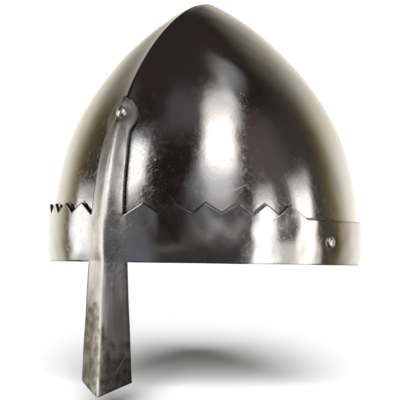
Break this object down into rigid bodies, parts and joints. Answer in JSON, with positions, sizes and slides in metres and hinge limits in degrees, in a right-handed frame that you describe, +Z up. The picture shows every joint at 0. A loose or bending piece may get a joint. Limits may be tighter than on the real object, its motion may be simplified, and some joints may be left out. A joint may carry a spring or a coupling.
{
  "type": "nasal helmet",
  "caption": "Pointed steel helmet: ridged bowl, brow band with a saw-toothed front edge, and a pointed nose guard made in the same sheet, held by round-headed rivets.",
  "frame": {"origin": "middle of the head opening, level with the rim", "axes": "+Z up to the apex, the nose guard faces -Y, the wearer's left is +X"},
  "size_m": [0.2148, 0.2475, 0.269],
  "materials": {
    "skull_steel": "hand-polished satin with fine scratches and a warm oil tint",
    "band_steel": "hand-polished satin with fine scratches",
    "rivet_steel": "hammered and polished"
  },
  "bodies": {
    "root": {"skull": "skull_steel", "brow_band_nasal": "band_steel", "nasal_rivet": "rivet_steel", "side_rivet_left": "rivet_steel", "side_rivet_right": "rivet_steel"}
  },
  "joints": []
}
